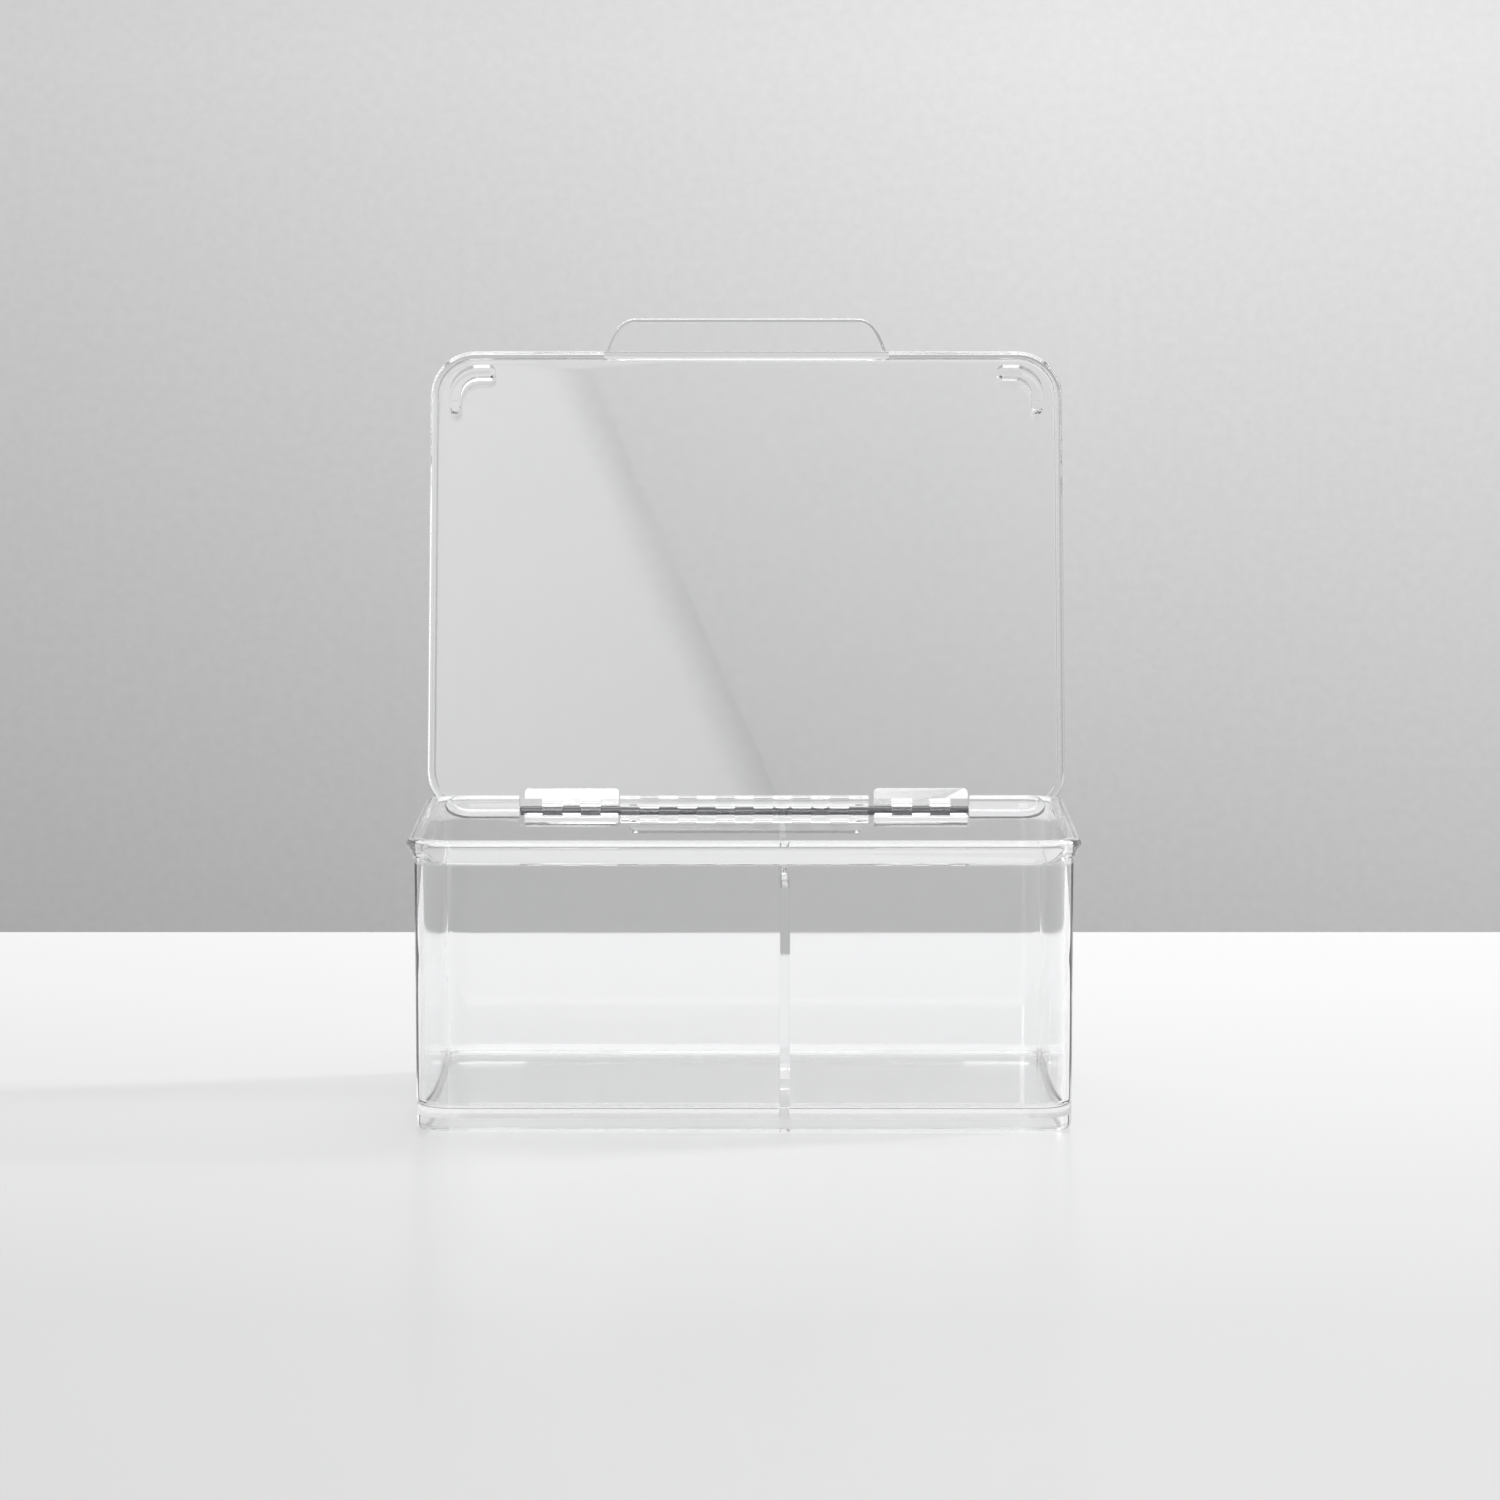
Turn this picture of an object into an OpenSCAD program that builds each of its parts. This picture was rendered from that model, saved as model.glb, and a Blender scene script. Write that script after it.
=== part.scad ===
// Clear hinged-lid storage box: a drafted tray with a flared rim and one divider,
// and a skirted lid that swings on a steel pin laid through alternating half shells.
// Millimetres. +Z is up, X runs left to right, the finger tab is at the -Y side.
// The origin is on the table, under the middle of the tray. The lid is drawn open.

/* [Tray] */
// Overall width over the rim
rim_w = 165; // [140:1:260]
// Overall depth over the rim
rim_d = 127; // [90:1:200]
// Height of the rim above the table
rim_h = 71.5; // [50:0.5:120]
// Plan radius of the rim's corners
corner_r = 11.8; // [9.5:0.1:16]
// Thickness of the walls
wall = 2; // [1.6:0.1:2.6]
// Draft of the walls in degrees
draft = 0.3; // [0.1:0.1:0.8]
// Thickness of the floor
floor_t = 2.2; // [1.6:0.1:3.5]
// Height of the foot ring under the floor
foot_h = 3.3; // [1:0.1:5]
// Width of the foot ring
foot_w = 2.3; // [1.6:0.1:4]
// Radius of the foot ring's outer bottom edge
foot_r = 1.5; // [0.4:0.1:1.5]
// Radius where the floor meets the walls inside
floor_fillet = 1.8; // [0.6:0.1:3]

/* [Rim] */
// How far the rim stands out past the walls
rim_out = 1.9; // [1.2:0.1:2.8]
// Height of the flare under the rim, from the wall to the rim's top
rim_flare_h = 6.4; // [4:0.1:9]
// Radius of the bead along the rim's outer edge
bead_r = 1.4; // [0.5:0.1:1.5]
// Radius of the rim's inner edge
rim_inner_r = 0.7; // [0.3:0.1:1]

/* [Divider] */
// Distance of the divider from the middle of the tray, to the right
divider_x = 10; // [-25:0.5:25]
// Thickness of the divider
divider_t = 2.4; // [1.2:0.1:4]
// How far the divider's top stays below the rim
divider_drop = 11.5; // [7:0.5:30]
// Radius of the divider's top edges
divider_r = 0.6; // [0.2:0.1:0.6]

/* [Hinge] */
// Diameter of the hinge pin
pin_d = 2.4; // [1.6:0.1:3]
// Radial clearance of the pin in the lid's knuckles
pin_play = 0.06; // [0.03:0.01:0.1]
// Radial clearance of the pin in the tray's barrel
barrel_play = 0.03; // [0.01:0.01:0.08]
// Gap between each end of the pin and the tray
pin_end_gap = 0.2; // [0.1:0.1:0.5]
// Outer radius of the knuckles and of the barrel
knuckle_r = 3.2; // [2.6:0.1:3.6]
// Depth of the hinge axis below the rim's top
axis_drop = 3.9; // [3.8:0.1:5]
// Length of the barrel in the middle of the back wall
barrel_l = 64.2; // [40:0.2:90]
// Half shells along the barrel
barrel_shells = 13; // [5:2:19]
// Width of each notch in the back wall
notch_w = 26.1; // [20:0.1:36]
// Side play of each lid knuckle in its notch
notch_play = 0.9; // [0.3:0.1:1.5]
// How far the lid sits to the right within that play
lid_shift = 0.5; // [0:0.1:0.7]
// Wide shells on each lid knuckle
wide_shell_w = 5.3; // [4:0.1:6]
// How far each lid knuckle reaches forward of the axis
knuckle_reach = 6.2; // [4.5:0.1:8]
// Plan radius of the knuckle's front corners
knuckle_corner_r = 1.2; // [0.4:0.1:2]
// How far the lid leans back past upright when it is open, in degrees
lid_lean = 17; // [5:1:30]

/* [Lid] */
// Thickness of the lid's panel
lid_t = 2.2; // [1.6:0.1:3]
// Height of the lid from the skirt's edge to its top
lid_h = 4.3; // [3.8:0.1:8]
// Thickness of the lid's skirt
skirt_t = 2; // [1.4:0.1:3]
// How far the lid's sides and front stand out past the rim
lid_side = 0.3; // [0:0.1:1]
// Radial gap that the lid's back edge keeps to the rim as it swings
swing_gap = 0.3; // [0.2:0.1:0.6]
// Length of the lip behind the hinge, between the knuckles
lip_w = 60.6; // [20:0.2:63]
// How far the lip reaches back past the hinge axis
lip_out = 4.2; // [3.6:0.1:6]
// Plan radius of the lip's corners
lip_r = 1.6; // [0.6:0.1:2.4]
// Radius of the lid's outer top edge
lid_edge_r = 1.2; // [0.4:0.1:1.4]
// Gap between the closed lid's skirt and the rim
lid_gap = 0.2; // [0.1:0.1:0.6]
// Gap between the right corner rib and the tray's wall when the lid is closed
rib_gap = 0.2; // [0.2:0.1:0.8]
// Thickness of the corner ribs
rib_t = 3.1; // [1.5:0.1:3.2]
// Length of each leg of a corner rib past its round corner
rib_leg = 2.7; // [1:0.1:16]
// How far the corner ribs reach down below the rim
rib_depth = 2.4; // [1:0.1:5]

/* [Finger tab] */
// Width of the tab where it leaves the lid
tab_w = 75; // [40:1:110]
// Width of the flat part of the tab's tip
tab_tip_w = 58; // [24:1:92]
// How far the tab stands out from the lid
tab_out = 9.8; // [7:0.1:16]
// Thickness of the tab, whose free edge is fully rounded
tab_t = 2; // [1.4:0.1:2.2]

/* [Ejector marks] */
// Diameter of the round pads and marks on the barrel
pad_d = 3.6; // [2:0.1:4]
// Diameter of the marks on the knuckles and ribs
dot_d = 2; // [1:0.1:2.4]
// Depth of the marks
dot_depth = 0.2; // [0.1:0.05:0.4]

/* [Hidden] */
$fn = 64;

floor_z = foot_h + floor_t;
flare_z = rim_h - rim_flare_h;
hinge_y = rim_d / 2 - knuckle_r;
hinge_z = rim_h - axis_drop;
notch_out = barrel_l / 2 + notch_w;
stop_gap = 0.05;
shell_inset = 0.2;
// Shells with a round mark in their cap, and with a round pad over their cradle
cap_count = (barrel_shells - 1) / 2;
mark_shells = cap_count > 3 ? [2 * floor(cap_count / 4) + 1, 2 * floor(cap_count / 4) + 3] : [];
pad_shells = cap_count > 3 ? [barrel_shells - 5, barrel_shells - 3] : [];
pad_up = axis_drop - pad_d / 2 - 0.6;
over = 1;

// distance in from the rim's outer face to the wall's outer and inner faces at a height
function outer_in(z) = rim_out + (rim_h - z) * tan(draft);
function inner_in(z) = outer_in(z) + wall;
function shell_edge(i) = (i / barrel_shells - 0.5) * (barrel_l - 2 * shell_inset);
function shell_middle(i) = (shell_edge(i) + shell_edge(i + 1)) / 2;
function arc(cx, cy, r, from, to, steps = 6) =
    [for (i = [0:steps]) let (a = from + (to - from) * i / steps) [cx + r * cos(a), cy + r * sin(a)]];

// The back of a lid knuckle comes to rest on the notch's rear edge when the lid is open,
// so the notch's depth follows from the lean.
notch_edge = rim_d / 2 - outer_in(flare_z) - hinge_y;
notch_z = hinge_z - (knuckle_r + stop_gap + notch_edge * sin(lid_lean)) / cos(lid_lean);

// Rim outline in [distance in, height], from the foot of the flare over the bead to the inside
bead_under = 215;
flare_top = rim_h - bead_r + bead_r * sin(bead_under);
flare_tip = bead_r + bead_r * cos(bead_under);
flare_steps = 8;
flare_power = 1.4;
rim_points = concat(
    [for (i = [0:flare_steps - 1]) let (s = i / flare_steps)
        [outer_in(flare_z) - (outer_in(flare_z) - flare_tip) * pow(s, flare_power),
         flare_z + (flare_top - flare_z) * s]],
    arc(bead_r, rim_h - bead_r, bead_r, bead_under, 90, 8),
    arc(inner_in(rim_h) - rim_inner_r, rim_h - rim_inner_r, rim_inner_r, 90, 0, 4));

tray_points = concat(
    [[outer_in(0) + foot_w, 0]],
    arc(outer_in(0) + foot_r, foot_r, foot_r, 270, 180, 5),
    rim_points,
    arc(inner_in(floor_z) + floor_fillet, floor_z + floor_fillet, floor_fillet, 180, 270, 6),
    [[corner_r, floor_z], [corner_r, foot_h], [outer_in(0) + foot_w, foot_h]]);

// Lid section in [distance in, height above the hinge axis], closed
lid_top = axis_drop + lid_gap + lid_h;
lid_under = lid_top - lid_t;
lid_low = axis_drop + lid_gap;
skirt_edge_r = 0.3;
skirt_root_r = 0.2;
lid_points = concat(
    arc(skirt_edge_r, lid_low + skirt_edge_r, skirt_edge_r, 270, 180, 3),
    arc(lid_edge_r, lid_top - lid_edge_r, lid_edge_r, 180, 90, 6),
    [[corner_r, lid_top], [corner_r, lid_under]],
    arc(skirt_t + skirt_root_r, lid_under - skirt_root_r, skirt_root_r, 90, 180, 3),
    arc(skirt_t - skirt_edge_r, lid_low + skirt_edge_r, skirt_edge_r, 360, 270, 3));
tray_front = rim_d - knuckle_r;
lid_d = tray_front + lid_side;
lid_w = rim_w + 2 * lid_side;
knuckle_w = notch_w - 2 * notch_play;
swing_r = norm([knuckle_r - bead_r, axis_drop - bead_r]) + bead_r + swing_gap;

// A rounded rectangle w by d, whose section is carried straight along the sides
// and turned about the corners. The middle is filled between two heights.
module ring_section(points) {
    polygon([for (q = points) [corner_r - q[0], q[1]]]);
}

module swept_box(w, d, points, fill_from, fill_to) {
    along_x = w - 2 * corner_r;
    along_y = d - 2 * corner_r;
    translate([-along_x / 2, -along_y / 2, fill_from])
        cube([along_x, along_y, fill_to - fill_from]);
    for (side = [0, 1]) {
        rotate([0, 0, 180 * side]) {
            translate([along_x / 2, 0, 0])
                rotate([90, 0, 0])
                    linear_extrude(along_y, center = true)
                        ring_section(points);
            translate([0, along_y / 2, 0])
                rotate([90, 0, 90])
                    linear_extrude(along_x, center = true)
                        ring_section(points);
            translate([along_x / 2, along_y / 2, 0])
                rotate_extrude(angle = 90)
                    ring_section(points);
            translate([-along_x / 2, along_y / 2, 0])
                rotate([0, 0, 90])
                    rotate_extrude(angle = 90)
                        ring_section(points);
        }
    }
}

// A block from x = from to x = to, whose side view is drawn in [y, z]
module side_block(from, to) {
    translate([from, 0, 0])
        rotate([90, 0, 90])
            linear_extrude(to - from)
                children();
}

module bar_on_axis(r, from, to) {
    translate([from, 0, 0])
        rotate([0, 90, 0])
            cylinder(r = r, h = to - from);
}

module tray() {
    color([0.9, 0.93, 0.94, 0.35])
    difference() {
        swept_box(rim_w, rim_d, tray_points, foot_h, floor_z);
        translate([-notch_out, 0, notch_z])
            cube([2 * notch_out, rim_d, rim_h]);
    }
}

module divider() {
    half = rim_d / 2;
    top = rim_h - divider_drop;
    reach = half - inner_in(top);
    foot = half - inner_in(floor_z) - floor_fillet;
    outline = concat(
        arc(foot, floor_z + floor_fillet, floor_fillet, 270, 360, 6),
        [[reach, top], [-reach, top]],
        arc(-foot, floor_z + floor_fillet, floor_fillet, 180, 270, 6));
    color([0.9, 0.93, 0.94, 0.35])
    intersection() {
        side_block(divider_x - divider_t / 2, divider_x + divider_t / 2)
            polygon(outline);
        translate([divider_x, half, 0])
            rotate([90, 0, 0])
                linear_extrude(rim_d)
                    polygon(concat(
                        [[-divider_t / 2, 0], [divider_t / 2, 0]],
                        arc(divider_t / 2 - divider_r, top - divider_r, divider_r, 0, 90, 4),
                        arc(divider_r - divider_t / 2, top - divider_r, divider_r, 90, 180, 4)));
    }
}

// The tray's rim between the notches, thickened to a barrel. Its shells hold the pin in turn
// from below and from above, so the pin is laid in without a cross bore.
module hinge_barrel() {
    cap_r = 0.8;
    lap = 0.15;
    root = 0.4;
    web = concat(
        [for (q = rim_points) [rim_d / 2 - q[0], q[1]]],
        [[rim_d / 2 - inner_in(flare_z), notch_z], [rim_d / 2 - outer_in(flare_z), notch_z]]);
    color([0.9, 0.93, 0.94, 0.35])
    difference() {
        union() {
            side_block(-barrel_l / 2, barrel_l / 2)
                polygon(web);
            side_block(-barrel_l / 2, barrel_l / 2)
                translate([hinge_y, hinge_z])
                    intersection() {
                        circle(knuckle_r);
                        translate([-root, -knuckle_r])
                            square([knuckle_r + root, 2 * knuckle_r]);
                    }
            for (i = [0:barrel_shells - 1])
                side_block(shell_edge(i), shell_edge(i + 1))
                    translate([hinge_y, hinge_z])
                        union() {
                            intersection() {
                                circle(knuckle_r);
                                translate([-knuckle_r, i % 2 == 0 ? -knuckle_r : -lap])
                                    square([knuckle_r + root, i % 2 == 0 ? knuckle_r : lap]);
                            }
                            if (i % 2 == 0)
                                translate([-knuckle_r, 0])
                                    square([knuckle_r + root, lap]);
                            else
                                polygon(concat(
                                    [[root, 0], [-knuckle_r, 0]],
                                    arc(cap_r - knuckle_r, axis_drop - cap_r, cap_r, 180, 90, 4),
                                    [[root, axis_drop]]));
                        }
            for (i = pad_shells)
                translate([shell_middle(i), hinge_y, hinge_z + pad_up])
                    rotate([90, 0, 0])
                        cylinder(d = pad_d, h = knuckle_r - 2 * dot_depth);
        }
        for (i = mark_shells)
            translate([shell_middle(i), hinge_y - knuckle_r + dot_depth, hinge_z + pad_up])
                rotate([90, 0, 0])
                    cylinder(d = pad_d - 1, h = over);
        translate([0, hinge_y, hinge_z])
            bar_on_axis(pin_d / 2 + barrel_play, -barrel_l / 2 - over, barrel_l / 2 + over);
    }
}

module hinge_pin() {
    half = notch_out - pin_end_gap;
    nose = 0.3;
    color([0.75, 0.75, 0.77])
    translate([0, hinge_y, hinge_z])
        rotate([0, 90, 0])
            rotate_extrude()
                polygon([[0, -half], [pin_d / 2 - nose, -half], [pin_d / 2, nose - half],
                         [pin_d / 2, half - nose], [pin_d / 2 - nose, half], [0, half]]);
}

// Places what is drawn closed about the hinge axis at the open lid
module opened() {
    translate([lid_shift, hinge_y, hinge_z])
        rotate([-90 - lid_lean, 0, 0])
            children();
}

// The right half of the tab's free edge, from the lid out to the tip, as [x, distance out].
// It leaves the lid in a cove, climbs a steep flank and turns over a round shoulder.
tab_steps = 14;
tab_edge =
    let (foot = tab_w / 2, tip = tab_tip_w / 2, span = foot - tip)
    [for (i = [0:tab_steps]) let (t = i / tab_steps, s = 1 - t)
        [s*s*s * foot + 3*s*s*t * (foot - 0.22 * span) + 3*s*t*t * (tip + 0.74 * span) + t*t*t * tip,
         3*s*s*t * 0.16 * tab_out + 3*s*t*t * tab_out + t*t*t * tab_out]];
tab_last = len(tab_edge) - 1;

function unit(v) = v / norm(v);
function tab_side(i) = let (v = unit(tab_edge[min(i + 1, tab_last)] - tab_edge[max(i - 1, 0)])) [v[1], -v[0]];
function tab_inset(i, d) = tab_edge[i] - min(1, i / 3) * d * tab_side(i);
// One outline of the tab, drawn in by d along its free edge
function tab_ring(d, z) = concat(
    [[tab_w / 2, lid_edge_r, z]],
    [for (i = [0:tab_last]) let (q = tab_inset(i, d)) [q[0], -q[1], z]],
    [for (i = [tab_last:-1:0]) let (q = tab_inset(i, d)) [-q[0], -q[1], z]],
    [[-tab_w / 2, lid_edge_r, z]]);

module finger_tab() {
    r = tab_t / 2;
    levels = 8;
    count = 2 * (tab_last + 1) + 2;
    rings = [for (k = [0:levels]) let (a = -90 + 180 * k / levels) tab_ring(r * (1 - cos(a)), r * sin(a))];
    color([0.9, 0.93, 0.94, 0.35])
    opened()
        translate([0, -lid_d, lid_top - r])
            polyhedron(
                points = [for (ring = rings) each ring],
                faces = concat(
                    [for (j = [0:count / 2 - 2]) [j, j + 1, count - 2 - j, count - 1 - j]],
                    [for (j = [0:count / 2 - 2])
                        [for (i = [count - 1 - j, count - 2 - j, j + 1, j]) levels * count + i]],
                    [for (k = [0:levels - 1], j = [0:count - 1])
                        [k * count + j, (k + 1) * count + j,
                         (k + 1) * count + (j + 1) % count, k * count + (j + 1) % count]]));
}

// An L of two legs round the tray's inner corner, drawn in plan with the corner's centre at the origin
module corner_rib() {
    out_r = corner_r - inner_in(rim_h);
    in_r = out_r - rib_t;
    end_r = rib_t / 2 - 0.01;
    mid_r = out_r - rib_t / 2;
    difference() {
        translate([0, 0, axis_drop - rib_depth])
            linear_extrude(lid_under - axis_drop + rib_depth)
                polygon(concat(
                    arc(0, 0, out_r, 0, -90, 12),
                    arc(-rib_leg, -mid_r, end_r, 270, 90, 8),
                    arc(0, 0, in_r, -90, 0, 12),
                    arc(mid_r, rib_leg, end_r, 180, 0, 8)));
        translate([mid_r, rib_leg, axis_drop - rib_depth - over])
            cylinder(d = dot_d, h = over + dot_depth);
    }
}

// The lip's outline in plan, from its skirt's face inward by a margin
module lip_plan(margin) {
    half = lip_w / 2 - margin;
    out = lip_out - margin;
    r = lip_r - margin / 2;
    polygon(concat(
        [[-half, -skirt_t - over], [half, -skirt_t - over]],
        arc(half - r, out - r, r, 0, 90, 6),
        arc(r - half, out - r, r, 90, 180, 6)));
}

module lid() {
    color([0.9, 0.93, 0.94, 0.35])
    opened()
        difference() {
            union() {
                translate([0, -lid_d / 2, 0])
                    swept_box(lid_w, lid_d, lid_points, lid_under, lid_top);
                for (side = [0, 1])
                    mirror([side, 0, 0])
                        translate([rim_w / 2 - corner_r - rib_gap - lid_shift, corner_r - tray_front + rib_gap, 0])
                            corner_rib();
                translate([0, 0, lid_low])
                    linear_extrude(lid_h)
                        lip_plan(0);
            }
            translate([0, 0, lid_low - over])
                linear_extrude(lid_h - lid_t + over)
                    lip_plan(skirt_t);
            bar_on_axis(swing_r, -rim_w, rim_w);
            translate([-tab_w / 2, -lid_d - over, lid_top - tab_t])
                cube([tab_w, lid_edge_r + over, tab_t + over]);
            for (side = [-1, 1])
                translate([side * (barrel_l + notch_w) / 2 - knuckle_w / 2,
                           -skirt_t - skirt_root_r, lid_low - over])
                    cube([knuckle_w, skirt_t + skirt_root_r + over, lid_under - lid_low + over]);
        }
}

// One of the two lugs that carry the lid. Five shells share the pin: the narrow ones are
// open below, the wide ones close round it.
module knuckle(side) {
    middle = side * (barrel_l + notch_w) / 2;
    from = middle - knuckle_w / 2;
    narrow = (knuckle_w - 2 * wide_shell_w) / 3;
    shoulder = 1;
    color([0.9, 0.93, 0.94, 0.35])
    opened()
        difference() {
            intersection() {
                side_block(from, from + knuckle_w)
                    union() {
                        circle(knuckle_r);
                        polygon([[-knuckle_r, 0], [knuckle_r, 0], [knuckle_r, lid_low],
                                 [0, lid_under], [-knuckle_reach, lid_under],
                                 [-knuckle_reach, shoulder]]);
                    }
                translate([middle, 0, -knuckle_r - over])
                    linear_extrude(lid_top + knuckle_r + over)
                        lug_plan(knuckle_w);
            }
            bar_on_axis(pin_d / 2 + pin_play, from - over, from + knuckle_w + over);
            for (i = [0:2])
                translate([from + i * (narrow + wide_shell_w) - (i == 0 ? over : 0),
                           -knuckle_r - over, -knuckle_r - over])
                    cube([narrow + (i == 1 ? 0 : over), knuckle_r + over + pin_d / 2 + pin_play,
                          knuckle_r + over]);
        }
}

module lug_plan(width) {
    r = knuckle_corner_r;
    front = -knuckle_reach;
    back = knuckle_r + over;
    polygon(concat(
        [[width / 2, back], [-width / 2, back]],
        arc(r - width / 2, front + r, r, 180, 270, 6),
        arc(width / 2 - r, front + r, r, 270, 360, 6)));
}

module left_knuckle() { knuckle(-1); }

module right_knuckle() { knuckle(1); }

tray();
divider();
hinge_barrel();
hinge_pin();
lid();
finger_tab();
left_knuckle();
right_knuckle();
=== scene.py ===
# Looks of the clear hinged-lid storage box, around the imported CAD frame.
import math

import bmesh
import bpy
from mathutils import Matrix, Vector


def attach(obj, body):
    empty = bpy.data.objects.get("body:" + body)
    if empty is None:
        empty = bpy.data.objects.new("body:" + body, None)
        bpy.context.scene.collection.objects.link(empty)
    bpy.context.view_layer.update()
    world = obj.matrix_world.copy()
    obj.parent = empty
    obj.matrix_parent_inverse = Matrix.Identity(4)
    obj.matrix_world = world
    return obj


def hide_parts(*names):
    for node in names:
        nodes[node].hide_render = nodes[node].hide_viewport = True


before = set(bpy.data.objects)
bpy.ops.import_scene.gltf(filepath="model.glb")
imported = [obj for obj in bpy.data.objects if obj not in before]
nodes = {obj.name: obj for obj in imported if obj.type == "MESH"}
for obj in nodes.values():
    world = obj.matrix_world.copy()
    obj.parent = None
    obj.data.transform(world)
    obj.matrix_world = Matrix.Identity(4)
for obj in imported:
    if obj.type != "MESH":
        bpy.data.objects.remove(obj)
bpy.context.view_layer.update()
scene = bpy.context.scene

# Joined skins: vertices closer than this are one, in metres
WELD = 2e-6
# An edge that turns less than SOFT_TURN is shaded smooth, and so is one that turns less than
# ROUND_TURN beside a face narrower than ROUND_WIDTH, in metres, which is a step of a rounding
SOFT_TURN = math.radians(12)
ROUND_TURN = math.radians(32)
ROUND_WIDTH = 0.0006
SHORTEST = 1e-6

# What is left of a lamp's light after one face of the plastic
LAMP_PASS = (0.78, 0.783, 0.785, 1.0)
# Share of blue over red and green in the pale greys of the stage and the world
COOL = 1.005


# ---------------------------------------------------------------- materials
def new_material(name):
    mat = bpy.data.materials.new(name)
    mat.use_nodes = True
    return mat, mat.node_tree, mat.node_tree.nodes["Principled BSDF"]


def add(tree, kind, **props):
    node = tree.nodes.new(kind)
    for key, value in props.items():
        setattr(node, key, value)
    return node


def noise(tree, coord, scale, detail=3.0, rough=0.5, stretch=None):
    """A noise texture on object coordinates in metres, stretched along an axis if asked."""
    if stretch:
        mapping = add(tree, "ShaderNodeMapping")
        mapping.inputs["Scale"].default_value = stretch
        tree.links.new(coord, mapping.inputs["Vector"])
        coord = mapping.outputs["Vector"]
    tex = add(tree, "ShaderNodeTexNoise")
    tex.inputs["Scale"].default_value = scale
    tex.inputs["Detail"].default_value = detail
    tex.inputs["Roughness"].default_value = rough
    tree.links.new(coord, tex.inputs["Vector"])
    return tex.outputs["Fac"]


def remap(tree, value, lo, hi, to_lo, to_hi):
    node = add(tree, "ShaderNodeMapRange", clamp=True)
    for key, number in zip(("From Min", "From Max", "To Min", "To Max"), (lo, hi, to_lo, to_hi)):
        node.inputs[key].default_value = number
    tree.links.new(value, node.inputs["Value"])
    return node.outputs["Result"]


def clear_plastic(name, waviness=0.02, haze_top=0.03, scuffs=0.05):
    """Clear moulded styrene: slightly wavy faces, hairline scuffs and a trace of haze."""
    mat, tree, bsdf = new_material(name)
    bsdf.inputs["Transmission Weight"].default_value = 1.0
    bsdf.inputs["IOR"].default_value = 1.5
    bsdf.inputs["Specular IOR Level"].default_value = 0.5
    coord = add(tree, "ShaderNodeTexCoord").outputs["Object"]
    haze = noise(tree, coord, 38.0, 4.0)
    scuff = noise(tree, coord, 210.0, 5.0, 0.6, stretch=(1.0, 1.0, 9.0))
    rough = add(tree, "ShaderNodeMath", operation="ADD")
    tree.links.new(remap(tree, haze, 0.35, 0.75, 0.4 * haze_top, haze_top), rough.inputs[0])
    tree.links.new(remap(tree, scuff, 0.62, 0.72, 0.0, scuffs), rough.inputs[1])
    tree.links.new(rough.outputs[0], bsdf.inputs["Roughness"])
    mix = add(tree, "ShaderNodeMix", data_type="RGBA")
    mix.inputs["A"].default_value = (0.965, 0.969, 0.970, 1.0)
    mix.inputs["B"].default_value = (0.985, 0.984, 0.985, 1.0)
    tree.links.new(haze, mix.inputs["Factor"])
    tree.links.new(mix.outputs["Result"], bsdf.inputs["Base Color"])
    wave = noise(tree, coord, 26.0, 1.5, 0.4)
    bump = add(tree, "ShaderNodeBump")
    bump.inputs["Strength"].default_value = waviness
    bump.inputs["Distance"].default_value = 0.001
    tree.links.new(wave, bump.inputs["Height"])
    tree.links.new(bump.outputs["Normal"], bsdf.inputs["Normal"])
    # lamps reach what stands behind the plastic, weaker at each face
    through = add(tree, "ShaderNodeBsdfTransparent")
    through.inputs["Color"].default_value = LAMP_PASS
    path = add(tree, "ShaderNodeLightPath")
    choose = add(tree, "ShaderNodeMixShader")
    tree.links.new(path.outputs["Is Shadow Ray"], choose.inputs[0])
    tree.links.new(bsdf.outputs[0], choose.inputs[1])
    tree.links.new(through.outputs[0], choose.inputs[2])
    tree.links.new(choose.outputs[0], tree.nodes["Material Output"].inputs["Surface"])
    return mat


def drawn_steel(name):
    """Drawn steel rod: fine rings of draw marks round a dark grey metal."""
    mat, tree, bsdf = new_material(name)
    bsdf.inputs["Metallic"].default_value = 1.0
    coord = add(tree, "ShaderNodeTexCoord").outputs["Object"]
    streak = noise(tree, coord, 60.0, 4.0, 0.6, stretch=(1.0, 40.0, 40.0))
    mix = add(tree, "ShaderNodeMix", data_type="RGBA")
    mix.inputs["A"].default_value = (0.07, 0.07, 0.074, 1.0)
    mix.inputs["B"].default_value = (0.20, 0.20, 0.205, 1.0)
    tree.links.new(streak, mix.inputs["Factor"])
    tree.links.new(mix.outputs["Result"], bsdf.inputs["Base Color"])
    tree.links.new(remap(tree, streak, 0.3, 0.7, 0.04, 0.11), bsdf.inputs["Roughness"])
    bump = add(tree, "ShaderNodeBump")
    bump.inputs["Strength"].default_value = 0.15
    bump.inputs["Distance"].default_value = 0.0002
    tree.links.new(streak, bump.inputs["Height"])
    tree.links.new(bump.outputs["Normal"], bsdf.inputs["Normal"])
    return mat


def dress(mat, *names):
    for name in names:
        for slot in nodes[name].material_slots:
            slot.material = mat


clear = clear_plastic("clear_tray")
clear_lid = clear_plastic("clear_lid", waviness=0.012)
clear_hinge = clear_plastic("clear_hinge", waviness=0.01, haze_top=0.008, scuffs=0.01)
steel = drawn_steel("drawn_steel")
dress(clear, "tray", "divider")
dress(clear_lid, "lid", "finger_tab")
dress(clear_hinge, "hinge_barrel", "left_knuckle", "right_knuckle")
dress(steel, "hinge_pin")


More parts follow.
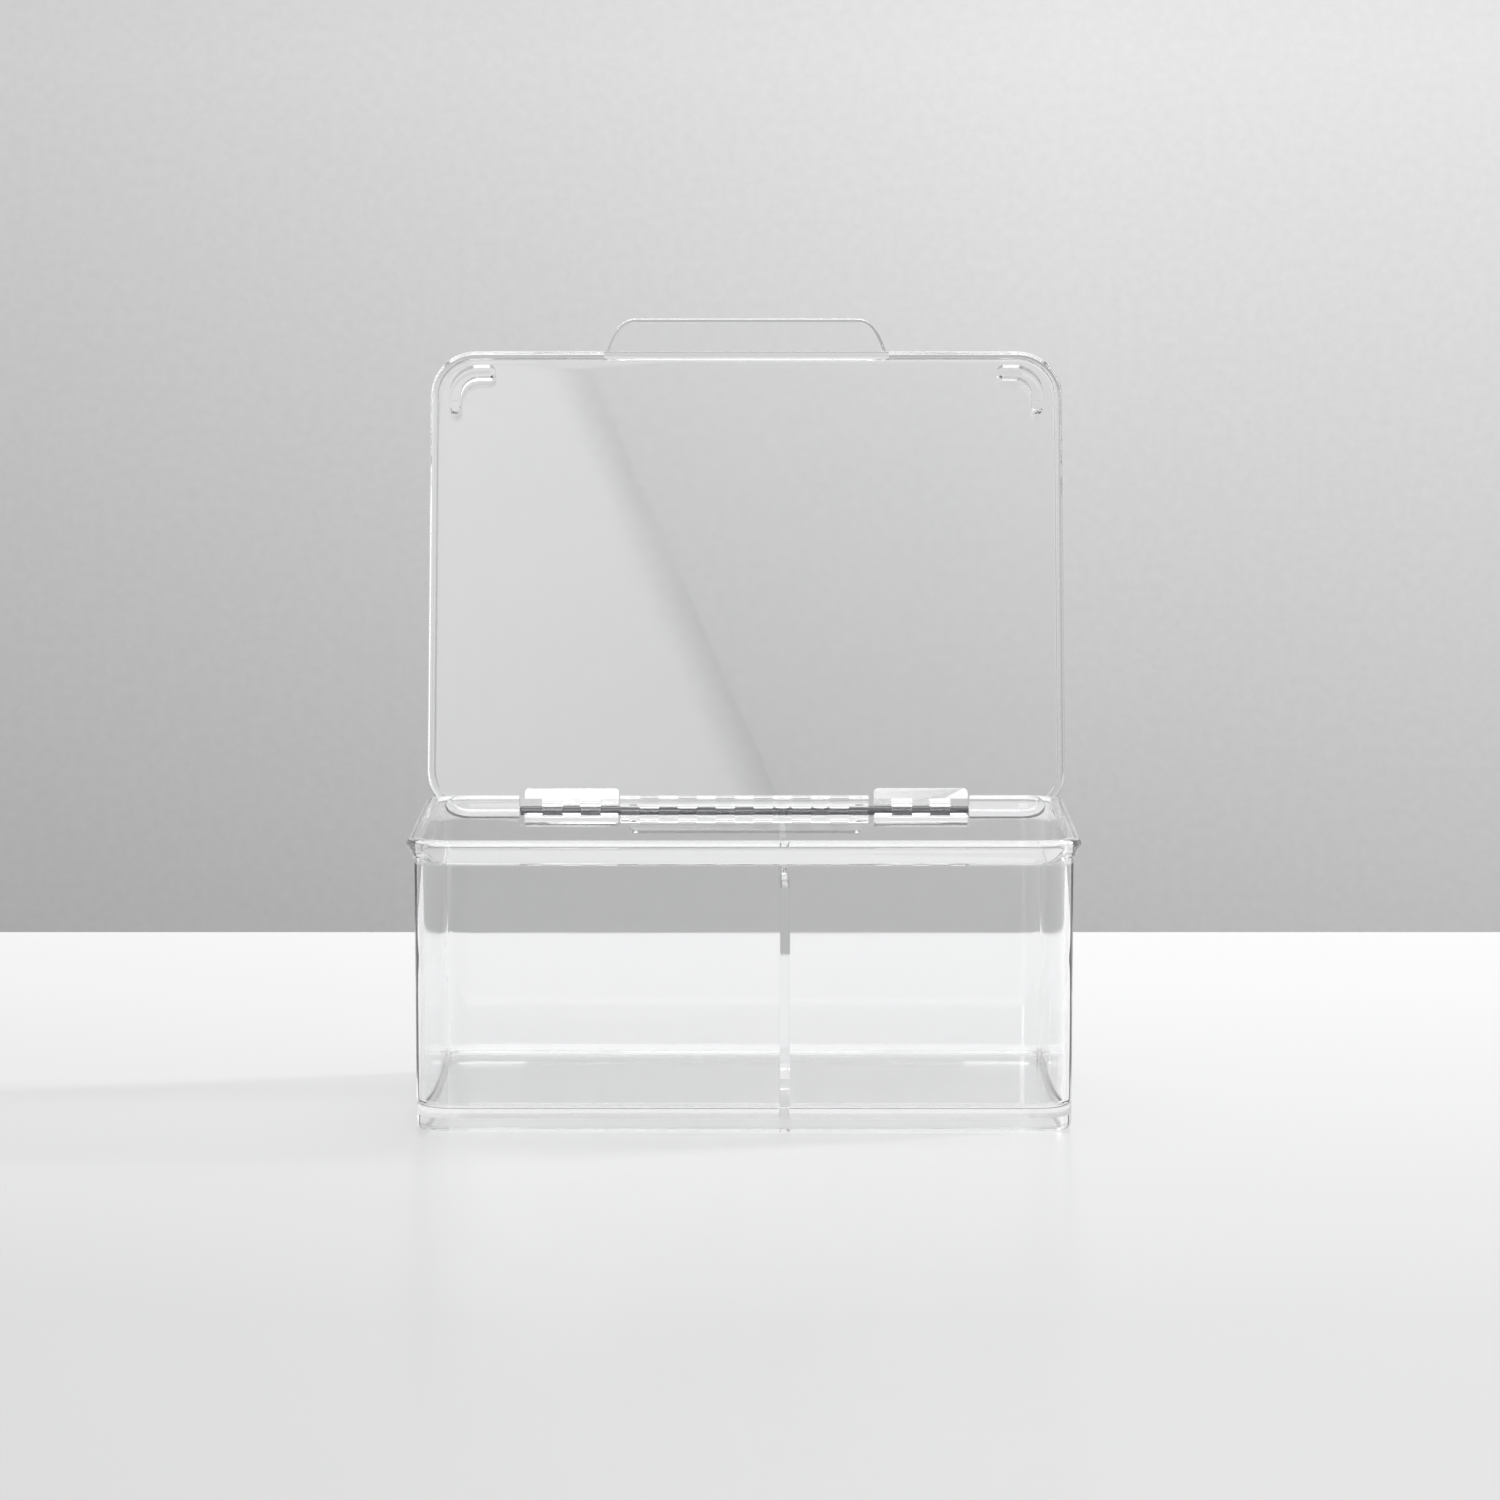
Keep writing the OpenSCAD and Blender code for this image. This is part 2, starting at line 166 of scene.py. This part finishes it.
def mark_creases(mesh):
    """Welds a joined skin, shades its rounded edges smooth and keeps its real creases crisp."""
    mesh.shade_smooth()
    form = bmesh.new()
    form.from_mesh(mesh)
    # the joining leaves a few collapsed slivers
    bmesh.ops.remove_doubles(form, verts=form.verts, dist=WELD)
    bmesh.ops.dissolve_degenerate(form, dist=WELD, edges=form.edges)
    for edge in form.edges:
        if len(edge.link_faces) != 2:
            edge.smooth = False
            continue
        turn = edge.calc_face_angle(0.0)
        narrowest = min(face.calc_area() for face in edge.link_faces)
        width = narrowest / max(edge.calc_length(), SHORTEST)
        edge.smooth = turn < SOFT_TURN or (turn < ROUND_TURN and width < ROUND_WIDTH)
    form.to_mesh(mesh)
    form.free()


def moulding(name, parts, body):
    """One clear skin in place of the nodes that are moulded together, with no faces inside it."""
    whole = nodes[parts[0]].copy()
    whole.name = name
    whole.data = whole.data.copy()
    scene.collection.objects.link(whole)
    for part in parts[1:]:
        join = whole.modifiers.new(part, "BOOLEAN")
        join.operation = "UNION"
        join.solver = "EXACT"
        join.material_mode = "TRANSFER"
        join.object = nodes[part]
    depsgraph = bpy.context.evaluated_depsgraph_get()
    mesh = bpy.data.meshes.new_from_object(whole.evaluated_get(depsgraph))
    whole.modifiers.clear()
    whole.data = mesh
    if "custom_normal" in mesh.attributes:
        mesh.attributes.remove(mesh.attributes["custom_normal"])
    mark_creases(mesh)
    weigh = whole.modifiers.new("flat faces stay flat", "WEIGHTED_NORMAL")
    weigh.mode = "FACE_AREA_WITH_ANGLE"
    weigh.keep_sharp = True
    weigh.weight = 50
    # light scattered off the table leaves through the plastic as if it weren't there
    whole.visible_diffuse = False
    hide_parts(*parts)
    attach(whole, body)


moulding("tray_moulding", ["tray", "divider", "hinge_barrel"], "case")
moulding("lid_moulding", ["lid", "finger_tab", "left_knuckle", "right_knuckle"], "lid")


# ---------------------------------------------------------------- stage
def stage_plane(name, corners, mat):
    mesh = bpy.data.meshes.new(name)
    mesh.from_pydata(corners, [], [(0, 1, 2, 3)])
    obj = bpy.data.objects.new(name, mesh)
    scene.collection.objects.link(obj)
    obj.data.materials.append(mat)
    return obj


def between(tree, value, lo, hi, low_color, high_color):
    """Blends two grey levels, or colour sockets, as value runs from lo to hi."""
    mix = add(tree, "ShaderNodeMix", data_type="RGBA")
    tree.links.new(remap(tree, value, lo, hi, 0.0, 1.0), mix.inputs["Factor"])
    for key, color in (("A", low_color), ("B", high_color)):
        if isinstance(color, (int, float)):
            mix.inputs[key].default_value = (color, color, color * COOL, 1.0)
        else:
            tree.links.new(color, mix.inputs[key])
    return mix.outputs["Result"]


def glowing_wall(name):
    """Pale glowing wall with painted light: lighter towards the top and the right."""
    mat, tree, bsdf = new_material(name)
    tree.nodes.remove(bsdf)
    place = add(tree, "ShaderNodeTexCoord").outputs["Object"]
    axes = add(tree, "ShaderNodeSeparateXYZ")
    tree.links.new(place, axes.inputs[0])
    # painted light: the glow is darker low down and on the left, lighter high up and on the right
    low = between(tree, axes.outputs["X"], -0.37, 0.37, 0.40, 0.50)
    high = between(tree, axes.outputs["X"], -0.37, 0.16, 0.62, 0.80)
    glow = add(tree, "ShaderNodeEmission")
    tone = between(tree, axes.outputs["Z"], -0.18, 0.27, low, high)
    grain = remap(tree, noise(tree, place, 190.0, 3.0, 0.6), 0.3, 0.7, 0.975, 1.025)
    tree.links.new(grain, glow.inputs["Strength"])
    tree.links.new(tone, glow.inputs["Color"])
    tree.links.new(glow.outputs[0], tree.nodes["Material Output"].inputs["Surface"])
    return mat


def pale_table(name):
    """Smooth white table top with painted light: lighter towards its far edge, and there towards
    the left.
    """
    mat, tree, bsdf = new_material(name)
    place = add(tree, "ShaderNodeTexCoord").outputs["Object"]
    axes = add(tree, "ShaderNodeSeparateXYZ")
    tree.links.new(place, axes.inputs[0])
    # painted light and shade: the colour runs from darker at the front to lighter at the far
    # edge, and lighter there towards the left
    far_painted_light = between(tree, axes.outputs["X"], -0.3, 0.3, 0.80, 0.73)
    tone = between(tree, axes.outputs["Y"], -0.35, 0.38, 0.56, far_painted_light)
    tree.links.new(tone, bsdf.inputs["Base Color"])
    bsdf.inputs["Roughness"].default_value = 0.24
    bsdf.inputs["Specular IOR Level"].default_value = 0.35
    return mat


table_half, table_far = 2.5, 0.393
wall_half, wall_up, wall_y = 3.5, 3, 2.0
stage_plane("table",
            [(-table_half, -table_half, 0), (table_half, -table_half, 0),
             (table_half, table_far, 0), (-table_half, table_far, 0)],
            pale_table("stage_table"))
stage_plane("wall",
            [(-wall_half, wall_y, -wall_up), (wall_half, wall_y, -wall_up),
             (wall_half, wall_y, wall_up), (-wall_half, wall_y, wall_up)],
            glowing_wall("stage_wall"))

# ---------------------------------------------------------------- light
world = bpy.data.worlds.new("world")
scene.world = world
world.use_nodes = True
wtree = world.node_tree
wplace = add(wtree, "ShaderNodeTexCoord").outputs["Generated"]
waxes = add(wtree, "ShaderNodeSeparateXYZ")
wtree.links.new(wplace, waxes.inputs[0])
side = between(wtree, waxes.outputs["X"], -0.7, 0.7, 0.42, 0.95)
front = between(wtree, waxes.outputs["Y"], -0.75, -0.15, 0.04, side)
sky = between(wtree, waxes.outputs["Z"], 0.15, 0.8, front, 1.3)
wtree.links.new(sky, wtree.nodes["Background"].inputs["Color"])
wtree.nodes["Background"].inputs["Strength"].default_value = 1.0


def softbox(name, place, aim, size, power):
    light = bpy.data.lights.new(name, "AREA")
    light.shape = "RECTANGLE"
    light.size, light.size_y = size
    light.energy = power
    obj = bpy.data.objects.new(name, light)
    obj.location = place
    obj.rotation_euler = (Vector(aim) - Vector(place)).to_track_quat("-Z", "Y").to_euler()
    scene.collection.objects.link(obj)


softbox("key", (2.9, 1.1, 1.65), (0, 0, 0.04), (0.5, 0.5), 68)
softbox("overhead", (-0.1, 0.35, 1.7), (0, 0, 0.05), (1.3, 0.9), 6)


def glowing_card(name, centre, width, height, lean, fade, strength):
    """A leaning card behind the camera, softly edged at its right, for the lid to mirror."""
    across = Vector((math.cos(lean), 0, math.sin(lean)))
    along = Vector((-math.sin(lean), 0, math.cos(lean)))
    middle = Vector(centre)
    corners = [middle + across * (i * width / 2) + along * (j * height / 2)
               for i, j in ((-1, -1), (1, -1), (1, 1), (-1, 1))]
    mat, tree, bsdf = new_material(name)
    tree.nodes.remove(bsdf)
    place = add(tree, "ShaderNodeTexCoord").outputs["Object"]
    shift = add(tree, "ShaderNodeVectorMath", operation="SUBTRACT")
    shift.inputs[1].default_value = middle
    tree.links.new(place, shift.inputs[0])
    dot = add(tree, "ShaderNodeVectorMath", operation="DOT_PRODUCT")
    dot.inputs[1].default_value = across
    tree.links.new(shift.outputs[0], dot.inputs[0])
    glow = add(tree, "ShaderNodeEmission")
    glow.inputs["Strength"].default_value = strength
    edge = width / 2
    inner = between(tree, dot.outputs["Value"], edge - 0.2, edge - fade, 1.3, 0.95)
    tone = between(tree, dot.outputs["Value"], edge - fade, edge, inner, 0.03)
    tree.links.new(tone, glow.inputs["Color"])
    tree.links.new(glow.outputs[0], tree.nodes["Material Output"].inputs["Surface"])
    obj = stage_plane(name, corners, mat)
    obj.visible_camera = False
    obj.visible_diffuse = False


glowing_card("card", (-0.604, -2.1, 1.21), 1.2, 1.9, math.radians(20.8), 0.025, 2.25)

# ---------------------------------------------------------------- camera
camera = bpy.data.cameras.new("camera")
camera.sensor_width = 36.0
camera.lens = 186.43
camera.clip_start = 0.05
camera.clip_end = 20
camera_obj = bpy.data.objects.new("camera", camera)
camera_obj.location = (0.00146, -1.9409, 0.2526)
camera_obj.rotation_euler = (math.radians(85.166), 0, 0)
scene.collection.objects.link(camera_obj)
scene.camera = camera_obj

# light that is caught inside the clear walls needs many bounces to come out again
scene.cycles.max_bounces = 40
scene.cycles.glossy_bounces = 30
scene.cycles.transmission_bounces = 40
scene.cycles.transparent_max_bounces = 40
# lamps already reach the table through the plastic as shadow rays, so they aren't counted twice
scene.cycles.caustics_refractive = False
scene.cycles.caustics_reflective = False

scene.view_settings.view_transform = "Standard"
